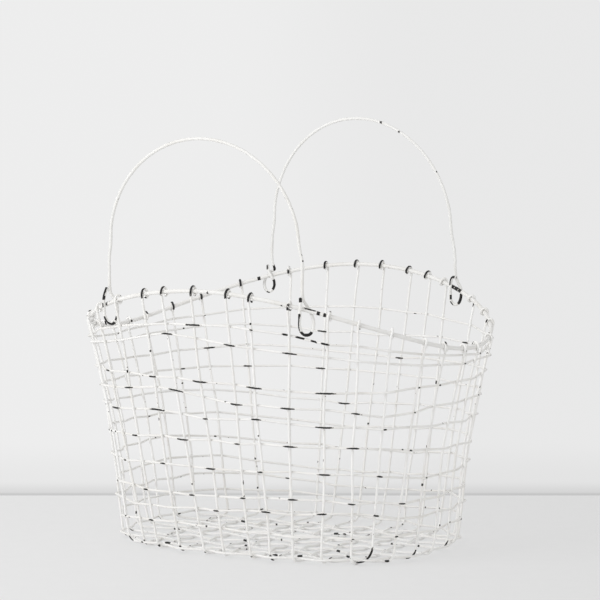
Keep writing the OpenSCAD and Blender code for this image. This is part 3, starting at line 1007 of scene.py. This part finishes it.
def chipped_paint(name, finish, shade_tint):
    """White paint over dark steel wire: bare where it is worn, stained round each chip."""
    material = bpy.data.materials.new(name)
    material.use_nodes = True
    n = Nodes(material.node_tree)
    place = n.add("ShaderNodeTexCoord").outputs["Object"]
    wear = n.add("ShaderNodeAttribute", attribute_name="wear").outputs["Fac"]
    tone = n.add("ShaderNodeAttribute", attribute_name="tone").outputs["Fac"]
    # Chips: the wear on the wire's points with a ragged edge, and small specks anywhere
    coarse = n.noise(place, 420.0, 3.0, 0.6)
    fine = n.noise(place, 1500.0, 2.0, 0.6)
    coarse_part = n.times(n.math("SUBTRACT", coarse, 0.5), 0.9)
    fine_part = n.times(n.math("SUBTRACT", fine, 0.5), 0.5)
    level = n.plus(wear, n.plus(coarse_part, fine_part))
    spots = n.noise(place, 330.0, 1.0, 0.5)
    bare = n.larger(n.span(level, 0.47, 0.53), n.span(spots, 0.775, 0.80))
    round_bare = n.larger(n.span(level, 0.38, 0.50), n.span(spots, 0.755, 0.79))
    edge = n.larger(n.math("SUBTRACT", round_bare, bare), 0.0)
    # Paint: slow changes of tone along the wires, and faint stains
    patches = n.span(n.noise(place, 38.0, 3.0, 0.55), 0.42, 0.72)
    stains = n.span(n.noise(place, 160.0, 4.0, 0.65), 0.52, 0.78)
    age = n.plus(n.times(patches, 0.45), n.plus(n.times(stains, 0.35), n.times(tone, 0.25)))
    # Both paints darkened by the wire's painted shade tint
    clean, old = (tuple(c * t for c, t in zip(colour, shade_tint)) for colour in (finish.paint, finish.old_paint))
    stained = n.blend(n.times(edge, 0.75), n.blend(age, clean, old), tuple(finish.primer))
    rusty = n.blend(n.span(fine, 0.5, 0.75), tuple(finish.steel), tuple(finish.rust))
    colour = n.blend(bare, stained, rusty)
    roughness = n.plus(n.times(n.noise(place, 700.0), 0.25), n.times(bare, -0.12))
    roughness = n.plus(roughness, 0.42)
    height = n.plus(n.times(n.noise(place, 120.0), 0.5), n.times(bare, -0.9))
    height = n.plus(height, n.times(fine, 0.05))
    bump = n.add("ShaderNodeBump")
    bump.inputs["Strength"].default_value = 0.45
    bump.inputs["Distance"].default_value = 0.00025
    n.join(height, bump.inputs["Height"])
    shader = n.add("ShaderNodeBsdfPrincipled")
    shader.inputs["Specular IOR Level"].default_value = 0.42
    n.join(colour, shader.inputs["Base Color"])
    n.join(roughness, shader.inputs["Roughness"])
    n.join(n.times(bare, 0.35), shader.inputs["Metallic"])
    n.join(bump.outputs["Normal"], shader.inputs["Normal"])
    n.join(shader.outputs[0], n.add("ShaderNodeOutputMaterial").inputs["Surface"])
    return material


# Painted shade: how much each kind of wire darkens the clean and the old paint, in red, green and blue, to
# take down the light that the level rim and rings and the thick handle wire catch from the lamps
PAINTED_SHADE_TINTS = {
    "rim_wire": (0.945, 0.945, 0.943),
    "stake_wire": (1.0, 1.0, 1.0),
    "ring_wire": (0.965, 0.963, 0.959),
    "handle_wire": (0.94, 0.94, 0.935),
}


def paint_for(slot_name, finish):
    """The material of one kind of wire, made once."""
    name = "chipped_paint_" + slot_name
    found = bpy.data.materials.get(name)
    return found or chipped_paint(name, finish, PAINTED_SHADE_TINTS[slot_name])


# ---------------------------------------------------------------------------
# Operators
# ---------------------------------------------------------------------------

def settings(context):
    """The five groups of values, in the order of the classes above."""
    s = context.scene
    return s.basket_sizes, s.basket_wires, s.basket_handles, s.basket_finish, s.basket_stage


def place_wire(wire, node, body, slot_name, finish):
    """Paint a wire, hang it on its body and hide the part of the CAD model that it stands for."""
    wire.data.materials.append(paint_for(slot_name, finish))
    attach(wire, body)
    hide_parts(node)


class BASKET_OT_rim(bpy.types.Operator):
    """Build the thick rim hoop"""

    bl_idname = "basket.rim"
    bl_label = "Rim hoop"

    def execute(self, context):
        sizes, wires, _, finish, _ = settings(context)
        weave = Weave(sizes, wires)
        rim = wire_tube(
            "rim_wire", weave.rim(), wires.rim_d, wires.sides + 2, finish.paint_lumps,
            rim_wear(weave), PAINT_SEEDS["rim"], closed=True,
        )
        place_wire(rim, "rim_hoop", "basket", "rim_wire", finish)
        return {"FINISHED"}


class BASKET_OT_stakes(bpy.types.Operator):
    """Build the crosswise and lengthwise stakes with their hooks and the woven floor"""

    bl_idname = "basket.stakes"
    bl_label = "Stakes and floor"

    def execute(self, context):
        sizes, wires, _, finish, _ = settings(context)
        weave = Weave(sizes, wires)
        for kind, path, ends in (
            ("cross_stake", weave.cross_stake, {"near": CROSS_NEAR, "far": CROSS_FAR}),
            ("long_stake", weave.long_stake, {"left": LONG_LEFT, "right": LONG_RIGHT}),
        ):
            for i, places in enumerate(zip(*ends.values())):
                node = f"{kind}_{i + 1:02d}"
                worn = [(place, HOOK_WEAR[side][i], BEND_WEAR[side][i]) for side, place in zip(ends, places)]
                wire = wire_tube(
                    node + "_wire", path(i), wires.stake_d, wires.sides, finish.paint_lumps,
                    stake_wear(weave, worn, WEAR_SEEDS[kind] + i), PAINT_SEEDS[kind] + i,
                )
                place_wire(wire, node, "basket", "stake_wire", finish)
        return {"FINISHED"}


class BASKET_OT_rings(bpy.types.Operator):
    """Build the rings woven round the wall and the one at its foot"""

    bl_idname = "basket.rings"
    bl_label = "Rings"

    def execute(self, context):
        sizes, wires, _, finish, _ = settings(context)
        weave = Weave(sizes, wires)
        for i in range(WALL_RINGS + 1):
            node = f"ring_{i + 1:02d}"
            path, crowns = weave.ring(i)
            wire = wire_tube(
                node + "_wire", path, wires.ring_d, wires.sides, finish.paint_lumps,
                ring_wear(i, crowns), PAINT_SEEDS["ring"] + i, closed=True,
            )
            place_wire(wire, node, "basket", "ring_wire", finish)
        return {"FINISHED"}


class BASKET_OT_handles(bpy.types.Operator):
    """Build the two handles with their wrapped eyes"""

    bl_idname = "basket.handles"
    bl_label = "Handles"

    def execute(self, context):
        sizes, wires, handles, finish, _ = settings(context)
        weave = Weave(sizes, wires)
        for i, node in enumerate(EYES):
            path, worn = handle_path(weave, node, wires, handles)
            wire = wire_tube(
                node + "_wire", path, wires.handle_d, wires.sides + 2, finish.paint_lumps,
                handle_wear(worn, ARCH_SPECKS[node]), PAINT_SEEDS["handle"] + i, end_wear=0.7,
            )
            place_wire(wire, node, node, "handle_wire", finish)
        return {"FINISHED"}


# ---------------------------------------------------------------------------
# Stage
# ---------------------------------------------------------------------------

FLOOR_REACH = 9.0  # half of how wide the floor is
FLOOR_GLOW = 0.7  # how much of the floor's seen tone is even rather than lit
CAMERA_SIDE = 0.0104  # how far the camera stands to the right of the floor's middle line
AIM = np.array([0.0058, 0.0111, 0.2369])  # the point that the camera looks at
SENSOR = 36.0  # width of the camera's sensor in millimetres
SKY = 0.69  # strength of the even light from all round
# Lamps: how far to the right of, beyond and above the basket's middle, size and power
LAMPS = {
    "key": (-1.75, -1.1, 1.15, 1.3, 27.0),
    "fill": (1.6, -1.6, 1.0, 1.8, 6.0),
}


def seen_rays(n):
    """1 where the camera sees a surface, directly or in a reflection, and 0 for its light on others."""
    rays = n.add("ShaderNodeLightPath").outputs
    mirrored = n.larger(rays["Is Glossy Ray"], rays["Is Transmission Ray"])
    return n.larger(rays["Is Camera Ray"], mirrored)


def side_shade(n, across):
    """Painted shade: the backdrop is a little darker towards the right."""
    return n.span(across, -0.035, 0.05, 1.0, 0.955)


def floor_material(stage):
    """Plain pale floor that turns into the backdrop beyond its far edge."""
    material = bpy.data.materials.new("pale_floor")
    material.use_nodes = True
    n = Nodes(material.node_tree)
    place = n.add("ShaderNodeTexCoord").outputs["Object"]
    split = n.add("ShaderNodeSeparateXYZ")
    n.join(place, split.inputs[0])
    beyond = n.math("SUBTRACT", split.outputs["Y"], stage.edge_distance)
    grain = n.noise(place, 60.0, 4.0, 0.6)
    floor_tone = n.plus(n.times(grain, 0.03), 0.985)
    floor = n.add("ShaderNodeBsdfPrincipled")
    floor.inputs["Roughness"].default_value = 0.7
    floor.inputs["Specular IOR Level"].default_value = 0.2
    n.join(n.scaled(stage.floor_color, floor_tone), floor.inputs["Base Color"])
    glow = n.add("ShaderNodeEmission")
    # Painted shade: the backdrop lightens slowly upwards from the floor's edge, with a dark line of painted
    # shade along the edge itself
    shade = n.times(n.span(beyond, 0.0, 0.11, 0.80, 0.95), n.span(beyond, 0.10, 0.45, 1.0, 1.053))
    shade = n.times(shade, n.span(beyond, 0.009, 0.024, 0.86, 1.0))
    across = n.math("SUBTRACT", split.outputs["X"], CAMERA_SIDE)
    ahead = n.plus(split.outputs["Y"], stage.camera_distance)
    # Painted shade that darkens the backdrop towards the right
    shade = n.times(shade, side_shade(n, n.math("DIVIDE", across, ahead)))
    wall = n.scaled(stage.wall_color, shade)
    # The floor's seen tone: its grain, with painted shade that darkens it towards the right
    grain_and_side_shade = n.times(floor_tone, n.span(across, -0.30, 0.35, 1.025, 0.955))
    is_wall = n.math("GREATER_THAN", beyond, 0.0)
    n.join(n.blend(is_wall, n.scaled(stage.floor_glow, grain_and_side_shade), wall), glow.inputs["Color"])
    glow_share = n.plus(n.times(is_wall, 1.0 - FLOOR_GLOW), FLOOR_GLOW)
    mixer = n.add("ShaderNodeMixShader")
    n.join(n.times(seen_rays(n), glow_share), mixer.inputs[0])
    n.join(floor.outputs[0], mixer.inputs[1])
    n.join(glow.outputs[0], mixer.inputs[2])
    n.join(mixer.outputs[0], n.add("ShaderNodeOutputMaterial").inputs["Surface"])
    return material


def add_floor(stage, height):
    mesh = bpy.data.meshes.new("floor")
    corners = [(x * FLOOR_REACH, y * FLOOR_REACH, 0) for x, y in ((-1, -1), (1, -1), (1, 1), (-1, 1))]
    mesh.from_pydata(corners, [], [(0, 1, 2, 3)])
    mesh.materials.append(floor_material(stage))
    floor = bpy.data.objects.new("floor", mesh)
    bpy.context.scene.collection.objects.link(floor)
    floor.rotation_euler = (0, 0, stage.camera_azimuth)
    floor.location = (0, 0, height)
    floor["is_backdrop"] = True


def add_sky(stage, right):
    """Even light from all round, and the backdrop's colour where the camera sees past the floor."""
    world = bpy.data.worlds.new("studio")
    bpy.context.scene.world = world
    world.use_nodes = True
    n = Nodes(world.node_tree)
    backdrop = n.add("ShaderNodeBackground")
    across = n.dot(n.add("ShaderNodeTexCoord").outputs["Generated"], right)
    # The backdrop's colour with painted shade towards the right
    n.join(n.scaled(stage.wall_color, side_shade(n, across)), backdrop.inputs["Color"])
    sky = n.add("ShaderNodeBackground")
    sky.inputs["Color"].default_value = (1, 1, 1, 1)
    sky.inputs["Strength"].default_value = SKY
    mixer = n.add("ShaderNodeMixShader")
    n.join(seen_rays(n), mixer.inputs[0])
    n.join(sky.outputs[0], mixer.inputs[1])
    n.join(backdrop.outputs[0], mixer.inputs[2])
    n.join(mixer.outputs[0], n.add("ShaderNodeOutputWorld").inputs["Surface"])


def add_lamp(name, place, aim, size, power):
    data = bpy.data.lights.new(name, "AREA")
    data.shape = "SQUARE"
    data.size = size
    data.energy = power
    lamp = bpy.data.objects.new(name, data)
    bpy.context.scene.collection.objects.link(lamp)
    lamp.location = place
    lamp.rotation_euler = (Vector(aim) - Vector(place)).to_track_quat("-Z", "Y").to_euler()


def add_camera(stage, away):
    data = bpy.data.cameras.new("camera")
    data.lens = stage.camera_lens
    data.sensor_width = SENSOR
    data.clip_end = 50.0
    camera = bpy.data.objects.new("camera", data)
    bpy.context.scene.collection.objects.link(camera)
    camera.location = AIM - stage.camera_distance * away
    camera.rotation_euler = (math.pi / 2 - stage.camera_elevation, 0, stage.camera_azimuth)
    bpy.context.scene.camera = camera


class BASKET_OT_stage(bpy.types.Operator):
    """Build the floor, the light and the camera"""

    bl_idname = "basket.stage"
    bl_label = "Floor, light and camera"

    def execute(self, context):
        stage = context.scene.basket_stage
        low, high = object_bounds()
        middle = (np.array(low) + np.array(high)) / 2
        azimuth, elevation = stage.camera_azimuth, stage.camera_elevation
        right = np.array([math.cos(azimuth), math.sin(azimuth), 0])
        level = np.array([-math.sin(azimuth), math.cos(azimuth), 0])
        away = math.cos(elevation) * level - math.sin(elevation) * UP
        add_floor(stage, low[2])
        add_sky(stage, right)
        for name, (aside, beyond, above, size, power) in LAMPS.items():
            add_lamp(name, middle + aside * right + beyond * away + above * UP, middle, size, power)
        add_camera(stage, away)
        context.scene.view_settings.view_transform = "Standard"
        return {"FINISHED"}


class BASKET_PT_panel(bpy.types.Panel):
    """Basket tools in the sidebar"""

    bl_idname = "BASKET_PT_panel"
    bl_label = "Woven Wire Basket"
    bl_space_type = "VIEW_3D"
    bl_region_type = "UI"
    bl_category = "Basket"

    def draw(self, context):
        for operator in OPERATORS:
            self.layout.operator(operator.bl_idname)
        for name in PROPERTY_GROUPS:
            box = self.layout.box()
            group = getattr(context.scene, name)
            for key in group.__annotations__:
                box.prop(group, key)


OPERATORS = (BASKET_OT_stage, BASKET_OT_rim, BASKET_OT_stakes, BASKET_OT_rings, BASKET_OT_handles)
PROPERTY_GROUPS = {
    "basket_sizes": BasketSizes,
    "basket_wires": WireSizes,
    "basket_handles": HandleSizes,
    "basket_finish": PaintFinish,
    "basket_stage": StageSettings,
}


def register():
    for cls in (*PROPERTY_GROUPS.values(), *OPERATORS, BASKET_PT_panel):
        bpy.utils.register_class(cls)
    for name, cls in PROPERTY_GROUPS.items():
        setattr(bpy.types.Scene, name, PointerProperty(type=cls))


def unregister():
    for name in PROPERTY_GROUPS:
        delattr(bpy.types.Scene, name)
    for cls in reversed((*PROPERTY_GROUPS.values(), *OPERATORS, BASKET_PT_panel)):
        bpy.utils.unregister_class(cls)


def main():
    register()
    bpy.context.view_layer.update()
    bpy.ops.basket.stage()
    bpy.ops.basket.rim()
    bpy.ops.basket.stakes()
    bpy.ops.basket.rings()
    bpy.ops.basket.handles()


if __name__ == "__main__":
    main()
